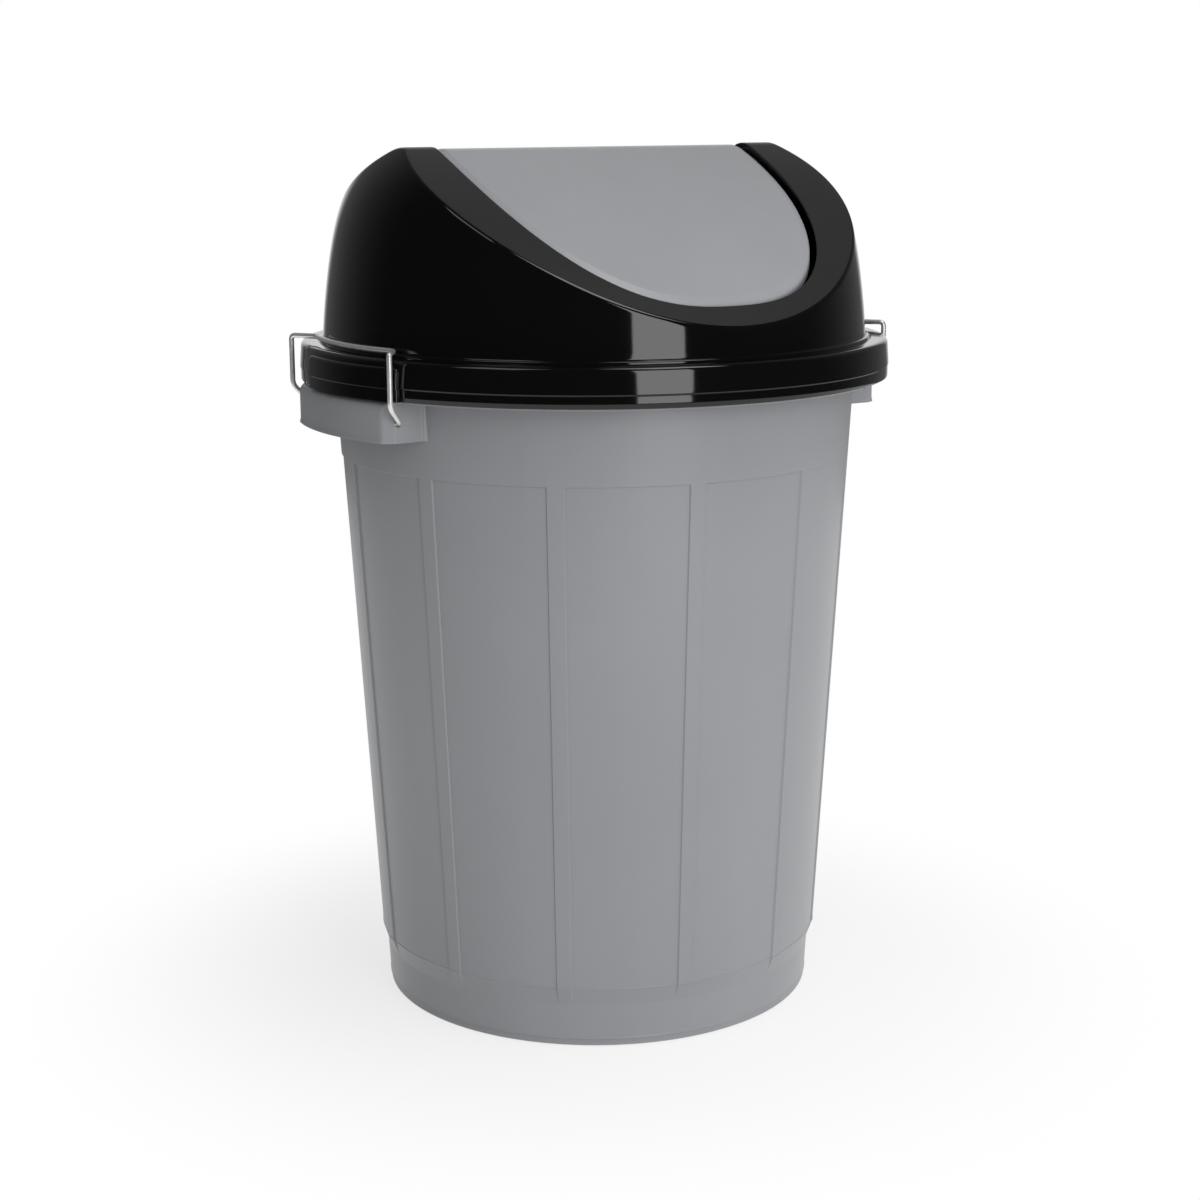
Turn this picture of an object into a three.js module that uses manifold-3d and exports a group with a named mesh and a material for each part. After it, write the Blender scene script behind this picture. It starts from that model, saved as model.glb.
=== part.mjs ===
// Round swing-lid bin: a tapered plastic bucket with two moulded handles, a clamped-on hood,
// a flap that swings about the hood's ridge, and two spring-wire clamps.
// Millimetres, +Z up. The origin is the middle of the bucket's foot, on the floor. The hood's
// ridge and the flap's axle run along X, the flap's front faces -Y, the handles are at +X and -X.

import * as THREE from 'three';
import { mergeVertices } from 'three/addons/utils/BufferGeometryUtils.js';
import Module from 'manifold-3d';

const wasm = await Module();
wasm.setup();

// ---------------------------------------------------------------- driving dimensions

// facets of a full turn, of small round things, and of half the mouth's outline
const TURN_FACETS = 72;
const SMALL_FACETS = 16;
const OUTLINE_FACETS = 56;

// bucket wall
const BUCKET_HEIGHT = 500;
const FOOT_RADIUS = 164.4;
const MOUTH_RADIUS = 196.6;
const BUCKET_WALL = 2.5;

// foot: a ring stands on the floor, the bottom plate sits a little above it
const FOOT_EDGE_ROUND = 2;
const FOOT_RING_WIDTH = 12;
const BOTTOM_RECESS = 3;
const BOTTOM_THICKNESS = 3;

// plain band at the foot, then a sloped step out to the panelled wall
const FOOT_BAND_HEIGHT = 33;
const STEP_HEIGHT = 13.4;
const STEP_OUT = 3.9;

// shallow panels between upright ribs
const RIB_COUNT = 12;
const RIB_WIDTH = 11;
const RIB_TURN_DEG = 20.8;
const PANEL_DEPTH = 1.1;
const PANEL_BELOW_RIM = 82;

// rim: a shelf out from the mouth, turned down into a lip
const RIM_WIDTH = 19.9;
const RIM_THICKNESS = 2.5;
const RIM_LIP_DEPTH = 26.8;

// handles: a hood of plastic under the rim on each side, open below for the fingers
const HANDLE_HALF_WIDTH = 72.6;
const HANDLE_DEPTH = 55;
const HANDLE_PROUD = 6.2;
const HANDLE_WALL = 2.5;
const HANDLE_TOP_ROUND = 6;
const HANDLE_CORNER_CUT = 4.5;

// hood flange and skirt, over the bucket's rim
const LID_PLAY = 0.7;
const LID_SEAT_GAP = 0.3;
const LID_WALL = 2.5;
const SKIRT_HEIGHT = 28.2;
const SKIRT_DRAFT = 1;
const SKIRT_LIP_HEIGHT = 9;
const SKIRT_LIP_STEP = 0.5;
const FLANGE_ROUND = 4;
const FLANGE_SHELF = 13.3;
const BEAD_WIDTH = 2.8;
const BEAD_HEIGHT = 2;

// pads on the skirt that the clamps' arms straddle
const PAD_PROUD = 3;
const PAD_BELOW_FLANGE = 4.8;
const PAD_HALF_ANGLE_DEG = 15;
const PAD_TURN_DEG = 7;

// hood dome, and the arched roof that its mouth lies in
const DOME_HEIGHT = 140.6;
const DOME_LEAN = 20.3;
const DOME_LEAN_POWER = 1.4;
const DOME_SHOULDER = 23.5;
const DOME_SHOULDER_POWER = 5.4;
const ROOF_RADIUS = 759;
const ROOF_SETBACK = 286;
const RIDGE_ROUND = 25;

// mouth in the roof: a rounded outline, with a stiffening lip below its edge
const MOUTH_HALF_WIDTH = 133;
const MOUTH_HALF_LENGTH = 184.5;
const MOUTH_SQUARENESS = 2.6;
const MOUTH_LIP_DEPTH = 7;

// flap
const FLAP_GAP = 3.5;
const FLAP_DROP = 1.3;
const FLAP_WALL = 2.5;
const FLAP_RIM_DEPTH = 8;
const FLAP_SIDE_SHIFT = 1.5;

// axle of the flap, in brackets under the hood's roof
const AXLE_BELOW_RIDGE = 20;
const AXLE_RADIUS = 4;
const AXLE_CLEARANCE = 0.3;
const BOSS_RADIUS = 6.5;
const BRACKET_THICKNESS = 4.5;
const BRACKET_HALF_WIDTH = 11;
const BRACKET_BELOW_AXLE = 9;
const CHEEK_THICKNESS = 3;
const CHEEK_INSET = 11;
const AXLE_END_PLAY = 2;
const AXLE_TIP = 2;

// wire clamps
const WIRE_DIAMETER = 3.8;
const CLAMP_HOLE_CLEARANCE = 0.3;
const CLAMP_PIN_INSIDE = 21.7;
const CLAMP_PIN_ABOVE_EDGE = 14;
const CLAMP_PIN_REACH = 4;
const CLAMP_PIN_OUTSIDE = 3.4;
const CLAMP_ARM_OUTSIDE = 9.4;
const CLAMP_ARM_CLEARANCE = 0.9;
const CLAMP_CRANK_HEIGHT = 12;
const CLAMP_BAR_GAP = 3.9;
const CLAMP_BAR_LIFT = 0.8;
const CLAMP_BAR_HALF_WIDTH = 64;
const CLAMP_BEND = 5;
const CLAMP_PIN_BEND = 3;

// ---------------------------------------------------------------- derived places

const rimOuterRadius = MOUTH_RADIUS + RIM_WIDTH;
const stepBottom = FOOT_BAND_HEIGHT;
const stepTop = FOOT_BAND_HEIGHT + STEP_HEIGHT;
const wallSlope = (MOUTH_RADIUS - STEP_OUT - FOOT_RADIUS) / BUCKET_HEIGHT;
const panelTop = BUCKET_HEIGHT - PANEL_BELOW_RIM;

const flangeUnder = BUCKET_HEIGHT + LID_SEAT_GAP;
const flangeTop = flangeUnder + LID_WALL;
const skirtBottom = flangeTop - SKIRT_HEIGHT;
const skirtInnerRadius = rimOuterRadius + LID_PLAY;
const skirtTopRadius = skirtInnerRadius + LID_WALL;
const skirtBottomRadius = skirtTopRadius + SKIRT_DRAFT;
const padRadius = skirtBottomRadius + PAD_PROUD;
const padTop = flangeTop - PAD_BELOW_FLANGE;
const domeRadius = rimOuterRadius - FLANGE_SHELF;
const beadTop = flangeTop + BEAD_HEIGHT;

const ridgeTop = flangeTop + DOME_HEIGHT;
const ridgeCentre = ridgeTop - RIDGE_ROUND;
const roofCentre = ridgeCentre - Math.sqrt((ROOF_RADIUS - RIDGE_ROUND) ** 2 - ROOF_SETBACK ** 2);

const axleHeight = ridgeTop - AXLE_BELOW_RIDGE;
const bracketInner = MOUTH_HALF_WIDTH + LID_WALL;
const bracketOuter = bracketInner + BRACKET_THICKNESS;
const bossEnd = bracketInner - AXLE_END_PLAY;

const handleTop = skirtBottom - LID_SEAT_GAP;
const handleBottom = BUCKET_HEIGHT - HANDLE_DEPTH;
const handleRadius = rimOuterRadius + HANDLE_PROUD;

const wireRadius = WIRE_DIAMETER / 2;
const clampPinRadius = handleRadius - CLAMP_PIN_INSIDE;
const clampPinHeight = handleBottom + CLAMP_PIN_ABOVE_EDGE;
const clampBarRadius = domeRadius + CLAMP_BAR_GAP + wireRadius;
const clampBarHeight = beadTop + CLAMP_BAR_LIFT + wireRadius;

function bucketRadius(z) {
  const stepShare = THREE.MathUtils.clamp((z - stepBottom) / STEP_HEIGHT, 0, 1);
  return FOOT_RADIUS + wallSlope * z + STEP_OUT * stepShare;
}

// Outer radius of the hood's dome: it leans in slowly, then turns over at the shoulder.
function domeOuterRadius(z) {
  const share = Math.max(0, (z - flangeTop) / DOME_HEIGHT);
  const lean = DOME_LEAN * share ** DOME_LEAN_POWER;
  return domeRadius - lean - DOME_SHOULDER * share ** DOME_SHOULDER_POWER;
}

// ---------------------------------------------------------------- solids and booleans

function point(x, y) {
  return new THREE.Vector2(x, y);
}

// A closed geometry becomes a solid: vertices shared, empty triangles dropped, faces turned outwards.
function solid(geometry) {
  const bare = geometry.clone();
  bare.deleteAttribute('normal');
  bare.deleteAttribute('uv');
  const merged = mergeVertices(bare, 1e-4);
  const place = merged.getAttribute('position');
  const index = merged.getIndex().array;
  const corners = [0, 1, 2].map(() => new THREE.Vector3());
  const triangles = [];
  let volume = 0;
  for (let i = 0; i < index.length; i += 3) {
    const [a, b, c] = [index[i], index[i + 1], index[i + 2]];
    if (a === b || b === c || c === a) continue;
    [a, b, c].forEach((v, k) => corners[k].fromBufferAttribute(place, v));
    volume += corners[0].dot(corners[1].clone().cross(corners[2]));
    triangles.push([a, b, c]);
  }
  const facing = volume > 0 ? triangles : triangles.map(([a, b, c]) => [a, c, b]);
  const mesh = new wasm.Mesh({
    numProp: 3,
    vertProperties: new Float32Array(place.array),
    triVerts: new Uint32Array(facing.flat()),
  });
  return new wasm.Manifold(mesh);
}

function geometryOf(manifold) {
  const mesh = manifold.getMesh();
  const geometry = new THREE.BufferGeometry();
  geometry.setAttribute('position', new THREE.BufferAttribute(new Float32Array(mesh.vertProperties), 3));
  geometry.setIndex(new THREE.BufferAttribute(new Uint32Array(mesh.triVerts), 1));
  geometry.computeVertexNormals();
  return geometry;
}

function together(solids) {
  return solids.reduce((sum, next) => sum.add(next));
}

// A profile of (radius, height) points turned about Z. It closes on itself or ends on the axis.
function turned(profile, facets = TURN_FACETS) {
  return solid(new THREE.LatheGeometry(profile, facets).rotateX(Math.PI / 2));
}

function ring(profile, facets = TURN_FACETS) {
  return turned([...profile, profile[0]], facets);
}

function disc(radius, low, high) {
  return turned([point(0, low), point(radius, low), point(radius, high), point(0, high)]);
}

function box(xLow, xHigh, yLow, yHigh, zLow, zHigh) {
  const geometry = new THREE.BoxGeometry(xHigh - xLow, yHigh - yLow, zHigh - zLow);
  geometry.translate((xLow + xHigh) / 2, (yLow + yHigh) / 2, (zLow + zHigh) / 2);
  return solid(geometry);
}

// A round bar along X, at a height on the middle plane.
function barAlongX(radius, xLow, xHigh, z) {
  const geometry = new THREE.CylinderGeometry(radius, radius, xHigh - xLow, SMALL_FACETS);
  geometry.rotateZ(Math.PI / 2).translate((xLow + xHigh) / 2, 0, z);
  return solid(geometry);
}

function barAlongY(radius, x, yLow, yHigh, z) {
  const geometry = new THREE.CylinderGeometry(radius, radius, yHigh - yLow, SMALL_FACETS);
  geometry.translate(x, (yLow + yHigh) / 2, z);
  return solid(geometry);
}

// A flat outline in X and Y, raised from one height to another.
function prism(outline, low, high) {
  const shape = new THREE.Shape(outline);
  const geometry = new THREE.ExtrudeGeometry(shape, { depth: high - low, bevelEnabled: false });
  return solid(geometry.translate(0, 0, low));
}

// A wedge about the Z axis, from one bearing to another, that reaches past the whole bin.
function wedge(startDeg, endDeg, low, high) {
  const start = THREE.MathUtils.degToRad(startDeg);
  const end = THREE.MathUtils.degToRad(endDeg);
  const reach = 2 * rimOuterRadius;
  const corner = (angle) => point(reach * Math.cos(angle), reach * Math.sin(angle));
  return prism([point(0, 0), corner(start), corner(end)], low, high);
}

// ---------------------------------------------------------------- bucket

function bucketShell() {
  const under = BOTTOM_RECESS;
  const floor = BOTTOM_RECESS + BOTTOM_THICKNESS;
  const wallAt = (z) => point(bucketRadius(z), z);
  const insideAt = (z) => point(bucketRadius(z) - BUCKET_WALL, z);
  const rimUnder = BUCKET_HEIGHT - RIM_THICKNESS;
  const lipBottom = BUCKET_HEIGHT - RIM_LIP_DEPTH;
  const lipInner = rimOuterRadius - RIM_THICKNESS;
  return turned([
    point(0, under),
    point(FOOT_RADIUS - FOOT_RING_WIDTH, under),
    point(FOOT_RADIUS - FOOT_RING_WIDTH, 0),
    point(FOOT_RADIUS - FOOT_EDGE_ROUND, 0),
    wallAt(FOOT_EDGE_ROUND),
    wallAt(stepBottom),
    wallAt(stepTop),
    wallAt(rimUnder),
    point(lipInner, rimUnder),
    point(lipInner, lipBottom),
    point(rimOuterRadius, lipBottom),
    point(rimOuterRadius, BUCKET_HEIGHT - RIM_THICKNESS / 2),
    point(rimOuterRadius - RIM_THICKNESS / 2, BUCKET_HEIGHT),
    point(MOUTH_RADIUS - BUCKET_WALL, BUCKET_HEIGHT),
    insideAt(stepTop),
    insideAt(stepBottom),
    insideAt(floor),
    point(0, floor),
  ]);
}

// The panels are cut into the wall between the ribs, one depth all over.
function panelCuts() {
  const past = rimOuterRadius;
  const layer = ring([
    point(bucketRadius(stepTop) - PANEL_DEPTH, stepTop),
    point(past, stepTop),
    point(past, panelTop),
    point(bucketRadius(panelTop) - PANEL_DEPTH, panelTop),
  ]);
  const ribDeg = THREE.MathUtils.radToDeg(RIB_WIDTH / bucketRadius((stepTop + panelTop) / 2));
  const pitch = 360 / RIB_COUNT;
  const cuts = [];
  for (let i = 0; i < RIB_COUNT; i += 1) {
    const rib = RIB_TURN_DEG - 90 + i * pitch;
    const between = wedge(rib + ribDeg / 2, rib + pitch - ribDeg / 2, stepTop, panelTop);
    cuts.push(layer.intersect(between));
  }
  return together(cuts);
}

// One handle at +X: an outer wall that follows the rim, with rounded top and cut corners, two
// side walls with the clamp's holes, and an open hollow from the wall to the rim's lip.
function handle() {
  const half = HANDLE_HALF_WIDTH;
  const inner = handleRadius - HANDLE_WALL;
  const roundSteps = 4;
  const crown = [];
  for (let i = 0; i <= roundSteps; i += 1) {
    const angle = (i / roundSteps) * (Math.PI / 2);
    const out = handleRadius - HANDLE_TOP_ROUND * (1 - Math.cos(angle));
    crown.push(point(out, handleTop - HANDLE_TOP_ROUND * (1 - Math.sin(angle))));
  }
  const outerForm = turned([
    point(0, handleBottom),
    point(handleRadius, handleBottom),
    ...crown,
    point(0, handleTop),
  ]);
  const cut = HANDLE_CORNER_CUT;
  const cornerX = Math.sqrt(handleRadius ** 2 - half ** 2);
  const plan = prism(
    [
      point(MOUTH_RADIUS / 2, -half),
      point(cornerX - cut, -half),
      point(cornerX + cut, cut - half),
      point(2 * handleRadius, cut - half),
      point(2 * handleRadius, half - cut),
      point(cornerX + cut, half - cut),
      point(cornerX - cut, half),
      point(MOUTH_RADIUS / 2, half),
    ],
    handleBottom,
    handleTop,
  );
  const past = handleBottom - HANDLE_DEPTH;
  const hollow = disc(inner, past, handleTop - HANDLE_WALL - RIM_THICKNESS)
    .add(disc(rimOuterRadius - RIM_THICKNESS, past, BUCKET_HEIGHT - RIM_THICKNESS))
    .intersect(box(0, 2 * inner, HANDLE_WALL - half, half - HANDLE_WALL, past, BUCKET_HEIGHT));
  return outerForm.intersect(plan).subtract(hollow);
}

function bucket() {
  const insideOfWall = turned([
    point(0, 0),
    point(FOOT_RADIUS - BUCKET_WALL / 2, 0),
    point(bucketRadius(stepTop) - BUCKET_WALL / 2, stepTop),
    point(MOUTH_RADIUS - BUCKET_WALL / 2, BUCKET_HEIGHT),
    point(0, BUCKET_HEIGHT),
  ]);
  const right = handle();
  const left = right.rotate([0, 0, 180]);
  const past = 2 * HANDLE_HALF_WIDTH;
  const holeRadius = wireRadius + CLAMP_HOLE_CLEARANCE;
  const holes = [1, -1].map((side) =>
    barAlongY(holeRadius, side * clampPinRadius, -past, past, clampPinHeight),
  );
  const handles = right.add(left).subtract(insideOfWall).subtract(together(holes));
  return bucketShell().subtract(panelCuts()).add(handles);
}

// ---------------------------------------------------------------- hood

// Everything between the floor and the arched roof, set in by a depth: two large arcs that meet in
// a rounded ridge.
function underRoof(depth) {
  const radius = ROOF_RADIUS - depth;
  const ridge = RIDGE_ROUND - depth;
  const tangent = Math.atan2(ROOF_SETBACK, ridgeCentre - roofCentre);
  const eave = Math.asin((1.2 * domeRadius + ROOF_SETBACK) / radius);
  const steps = 14;
  const front = [];
  for (let i = 0; i <= steps; i += 1) {
    const angle = eave + (i / steps) * (tangent - eave);
    front.push(point(radius * Math.sin(angle) - ROOF_SETBACK, roofCentre + radius * Math.cos(angle)));
  }
  const crown = [];
  for (const share of [0.5, 0]) {
    const angle = tangent * share;
    crown.push(point(ridge * Math.sin(angle), ridgeCentre + ridge * Math.cos(angle)));
  }
  const right = [...front, ...crown];
  const left = right.slice(0, -1).reverse().map((p) => point(-p.x, p.y));
  const outline = [point(right[0].x, 0), ...right, ...left, point(-right[0].x, 0)];
  const long = 4 * domeRadius;
  const geometry = new THREE.ExtrudeGeometry(new THREE.Shape(outline), { depth: long, bevelEnabled: false });
  geometry.rotateX(Math.PI / 2).rotateZ(Math.PI / 2);
  geometry.computeBoundingBox();
  const middle = geometry.boundingBox.getCenter(new THREE.Vector3());
  return solid(geometry.translate(-middle.x, -middle.y, 0));
}

// The dome as one full body, set in by a depth, from a height up past the ridge.
function dome(depth, low) {
  const steps = 11;
  const profile = [point(0, low), point(domeOuterRadius(flangeTop) - depth, low)];
  for (let i = 0; i <= steps; i += 1) {
    const share = Math.sin((i / steps) * (Math.PI / 2));
    const z = flangeTop + share * DOME_HEIGHT;
    profile.push(point(domeOuterRadius(z) - depth, z));
  }
  const over = ridgeTop + RIDGE_ROUND;
  profile.push(point(domeOuterRadius(ridgeTop) - depth, over), point(0, over));
  return turned(profile);
}

// Outline of the mouth, set out by an amount: a rounded curve, squarer than an ellipse.
function mouthOutline(setOut) {
  const power = 2 / MOUTH_SQUARENESS;
  const points = [];
  for (let i = 0; i < OUTLINE_FACETS; i += 1) {
    const angle = (i / OUTLINE_FACETS) * 2 * Math.PI;
    const across = Math.cos(angle);
    const along = Math.sin(angle);
    points.push(
      point(
        (MOUTH_HALF_WIDTH + setOut) * Math.sign(across) * Math.abs(across) ** power,
        (MOUTH_HALF_LENGTH + setOut) * Math.sign(along) * Math.abs(along) ** power,
      ),
    );
  }
  return points;
}

function mouthPrism(setOut) {
  return prism(mouthOutline(setOut), skirtBottom, ridgeTop + RIDGE_ROUND);
}

// The shelf over the bucket's rim, its rounded edge, the drafted skirt with a set-in lip, and the
// bead at the foot of the dome.
function flangeAndSkirt() {
  const rounding = (outRadius, top) =>
    [1, 0.75, 0.5, 0.25, 0].map((share) => {
      const angle = (share * Math.PI) / 2;
      const centre = outRadius - FLANGE_ROUND;
      const level = top - FLANGE_ROUND;
      return point(centre + FLANGE_ROUND * Math.sin(angle), level + FLANGE_ROUND * Math.cos(angle));
    });
  const lipTop = skirtBottom + SKIRT_LIP_HEIGHT;
  const lipRadius = skirtBottomRadius - SKIRT_LIP_STEP;
  const beadRound = BEAD_WIDTH / 3;
  const body = ring([
    point(domeRadius - LID_WALL, flangeUnder),
    point(skirtInnerRadius, flangeUnder),
    point(skirtInnerRadius, skirtBottom),
    point(lipRadius, skirtBottom),
    point(lipRadius, lipTop - SKIRT_LIP_STEP),
    point(skirtBottomRadius, lipTop),
    ...rounding(skirtTopRadius, flangeTop),
    point(domeRadius + BEAD_WIDTH, flangeTop),
    point(domeRadius + BEAD_WIDTH, beadTop - beadRound),
    point(domeRadius + BEAD_WIDTH - beadRound, beadTop),
    point(domeRadius - LID_WALL, beadTop),
  ]);
  const padForm = ring([
    point(skirtInnerRadius + LID_WALL / 2, skirtBottom),
    point(padRadius, skirtBottom),
    ...rounding(padRadius, padTop),
    point(skirtInnerRadius + LID_WALL / 2, padTop),
  ]);
  const pads = [0, 180].map((side) => {
    const middle = side + PAD_TURN_DEG;
    const reach = wedge(middle - PAD_HALF_ANGLE_DEG, middle + PAD_HALF_ANGLE_DEG, skirtBottom, flangeTop);
    return padForm.intersect(reach);
  });
  return body.add(together(pads));
}

// Two brackets hang from the roof beside the mouth, each with a hole for the flap's axle.
function axleBrackets() {
  const low = axleHeight - BRACKET_BELOW_AXLE;
  const wide = BRACKET_HALF_WIDTH;
  const right = box(bracketInner, bracketOuter, -wide, wide, low, ridgeTop);
  const left = box(-bracketOuter, -bracketInner, -wide, wide, low, ridgeTop);
  return right.add(left).intersect(underRoof(LID_WALL / 2));
}

function hood() {
  const outside = dome(0, flangeUnder).intersect(underRoof(0));
  const inside = dome(LID_WALL, skirtBottom).intersect(underRoof(LID_WALL));
  const lip = mouthPrism(LID_WALL)
    .subtract(mouthPrism(0))
    .intersect(underRoof(LID_WALL / 2))
    .subtract(underRoof(MOUTH_LIP_DEPTH));
  const axleHole = barAlongX(AXLE_RADIUS + AXLE_CLEARANCE, -2 * bracketOuter, 2 * bracketOuter, axleHeight)
    .intersect(box(-bracketOuter - 1, bracketOuter + 1, -domeRadius, domeRadius, 0, ridgeTop));
  return outside
    .subtract(inside)
    .subtract(mouthPrism(0))
    .add(lip)
    .add(axleBrackets())
    .add(flangeAndSkirt())
    .subtract(axleHole);
}

// ---------------------------------------------------------------- flap

// The flap follows the roof a little below it, with a rim turned down all round, and two cheeks
// that carry the stub axles.
function flap() {
  const skin = underRoof(FLAP_DROP).intersect(mouthPrism(-FLAP_GAP));
  const hollow = underRoof(FLAP_DROP + FLAP_WALL).intersect(mouthPrism(-FLAP_GAP - FLAP_WALL));
  const shell = skin.subtract(hollow).subtract(underRoof(FLAP_DROP + FLAP_RIM_DEPTH));
  const cheekOut = MOUTH_HALF_WIDTH - CHEEK_INSET;
  const cheekIn = cheekOut - CHEEK_THICKNESS;
  const low = axleHeight - BOSS_RADIUS;
  const wide = BOSS_RADIUS;
  const cheeks = box(cheekIn, cheekOut, -wide, wide, low, ridgeTop)
    .add(box(-cheekOut, -cheekIn, -wide, wide, low, ridgeTop))
    .intersect(underRoof(FLAP_DROP + FLAP_WALL / 2));
  const axles = [1, -1].map((side) => {
    const ends = (from, to) => (side > 0 ? [from, to] : [-to, -from]);
    const boss = barAlongX(BOSS_RADIUS, ...ends(cheekIn, bossEnd), axleHeight);
    const pin = barAlongX(AXLE_RADIUS, ...ends(cheekIn, bracketOuter + AXLE_TIP), axleHeight);
    return boss.add(pin);
  });
  return shell.add(cheeks).add(together(axles));
}

// ---------------------------------------------------------------- wire clamps

// Straight runs between corners, each corner rounded by a curve.
function roundedPath(corners) {
  const path = new THREE.CurvePath();
  let from = corners[0].at;
  for (let i = 1; i < corners.length - 1; i += 1) {
    const corner = corners[i].at;
    const before = corners[i - 1].at.clone().sub(corner);
    const after = corners[i + 1].at.clone().sub(corner);
    const enter = corner.clone().addScaledVector(before.normalize(), corners[i].bend);
    const leave = corner.clone().addScaledVector(after.normalize(), corners[i].bend);
    path.add(new THREE.LineCurve3(from, enter));
    path.add(new THREE.QuadraticBezierCurve3(enter, corner, leave));
    from = leave;
  }
  path.add(new THREE.LineCurve3(from, corners[corners.length - 1].at));
  return path;
}

// One clamp at +X, closed: a pin in each side wall of the handle, a crank out past the skirt, an
// upright arm, a turn in over the flange, and a bar that follows the foot of the dome.
function clampWire() {
  const pinEnd = HANDLE_HALF_WIDTH - HANDLE_WALL - CLAMP_PIN_REACH;
  const armSide = HANDLE_HALF_WIDTH + CLAMP_ARM_OUTSIDE;
  const armRadius = padRadius + CLAMP_ARM_CLEARANCE + wireRadius;
  const armX = Math.sqrt(armRadius ** 2 - armSide ** 2);
  const crankTop = clampPinHeight + CLAMP_CRANK_HEIGHT;
  const corner = (x, y, z, bend) => ({ at: new THREE.Vector3(x, y, z), bend });
  const pinOut = HANDLE_HALF_WIDTH + CLAMP_PIN_OUTSIDE;
  const half = [
    corner(clampPinRadius, pinEnd, clampPinHeight, 0),
    corner(clampPinRadius, pinOut, clampPinHeight, CLAMP_PIN_BEND),
    corner(armX, armSide, crankTop, CLAMP_BEND),
    corner(armX, armSide, clampBarHeight, CLAMP_BEND),
  ];
  const barEnd = Math.asin(CLAMP_BAR_HALF_WIDTH / clampBarRadius);
  const barSteps = 8;
  const bar = [];
  for (let i = 0; i <= barSteps; i += 1) {
    const angle = barEnd * (1 - (2 * i) / barSteps);
    const [x, y] = [clampBarRadius * Math.cos(angle), clampBarRadius * Math.sin(angle)];
    bar.push(corner(x, y, clampBarHeight, CLAMP_BEND));
  }
  const mirrored = half.map(({ at, bend }) => corner(at.x, -at.y, at.z, bend)).reverse();
  const path = roundedPath([...half, ...bar, ...mirrored]);
  const section = new THREE.Shape().absarc(0, 0, wireRadius, 0, 2 * Math.PI);
  const lengthwise = { steps: 110, curveSegments: 6, bevelEnabled: false, extrudePath: path };
  return new THREE.ExtrudeGeometry(section, lengthwise);
}

// ---------------------------------------------------------------- the bin

const greyPlastic = { color: 0x8c8d91, roughness: 0.42, metalness: 0 };
const blackPlastic = { color: 0x0b0b0c, roughness: 0.14, metalness: 0 };
const brightSteel = { color: 0xc9c6c2, roughness: 0.2, metalness: 1 };

const bin = new THREE.Group();

function place(name, geometry, material) {
  const mesh = new THREE.Mesh(geometry, new THREE.MeshStandardMaterial(material));
  mesh.name = name;
  bin.add(mesh);
  return mesh;
}

place('bucket', geometryOf(bucket()), greyPlastic);
place('hood', geometryOf(hood()), blackPlastic);
place('flap', geometryOf(flap()), greyPlastic).position.x = -FLAP_SIDE_SHIFT;
const clampShape = clampWire();
place('clamp_right', clampShape, brightSteel);
place('clamp_left', clampShape.clone(), brightSteel).rotation.z = Math.PI;

export default bin;
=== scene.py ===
# A round swing-lid bin, dressed for its portrait. Lengths are written in millimetres and set
# into the meshes in metres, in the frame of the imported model: +Z up, handles at +X and -X,
# the flap's front towards -Y.
import math

import bpy
from mathutils import Matrix, Vector


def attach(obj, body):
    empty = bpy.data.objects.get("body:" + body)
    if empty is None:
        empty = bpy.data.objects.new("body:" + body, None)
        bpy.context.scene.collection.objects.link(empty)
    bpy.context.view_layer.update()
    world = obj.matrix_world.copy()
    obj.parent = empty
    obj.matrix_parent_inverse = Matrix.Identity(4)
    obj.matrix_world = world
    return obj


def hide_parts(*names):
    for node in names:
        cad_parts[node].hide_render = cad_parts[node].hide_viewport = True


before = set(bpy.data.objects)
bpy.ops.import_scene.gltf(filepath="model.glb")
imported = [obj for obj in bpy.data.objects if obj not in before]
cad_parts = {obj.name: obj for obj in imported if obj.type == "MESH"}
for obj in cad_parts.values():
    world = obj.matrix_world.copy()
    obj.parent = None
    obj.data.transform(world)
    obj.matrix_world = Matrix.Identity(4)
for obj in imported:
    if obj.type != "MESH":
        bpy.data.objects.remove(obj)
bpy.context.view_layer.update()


# --- Camera -----------------------------------------------------------------------------
# A long lens a little above the hood, turned so that the left handle and clamp come to the
# front. It has no shift and no depth of field.
MM = 0.001
CAMERA_PLACE = Vector((-871.6, -1450.6, 667.9)) * MM
CAMERA_TURN = math.radians(31)
CAMERA_PITCH = 0.215222
CAMERA_YAW = 0.00197
CAMERA_ROLL = -0.005021
SENSOR_WIDTH = 36
FOCAL_PIXELS = 2238.03
FRAME_PIXELS = 1200
FAR_CLIP = 60

heading = CAMERA_TURN + CAMERA_YAW
level = Vector((math.sin(heading), math.cos(heading), 0))
forward = level * math.cos(CAMERA_PITCH) - Vector((0, 0, math.sin(CAMERA_PITCH)))
across = Vector((math.cos(heading), -math.sin(heading), 0))
upward = across.cross(forward)
camera_right = across * math.cos(CAMERA_ROLL) + upward * math.sin(CAMERA_ROLL)
camera_up = upward * math.cos(CAMERA_ROLL) - across * math.sin(CAMERA_ROLL)
bpy.ops.object.camera_add()
camera = bpy.context.object
camera.name = "portrait_camera"
camera.data.sensor_width = SENSOR_WIDTH
camera.data.lens = SENSOR_WIDTH * FOCAL_PIXELS / FRAME_PIXELS
camera.data.clip_end = FAR_CLIP
turn = Matrix((camera_right, camera_up, -forward)).transposed().to_4x4()
camera.matrix_world = Matrix.Translation(CAMERA_PLACE) @ turn
bpy.context.scene.camera = camera


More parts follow.
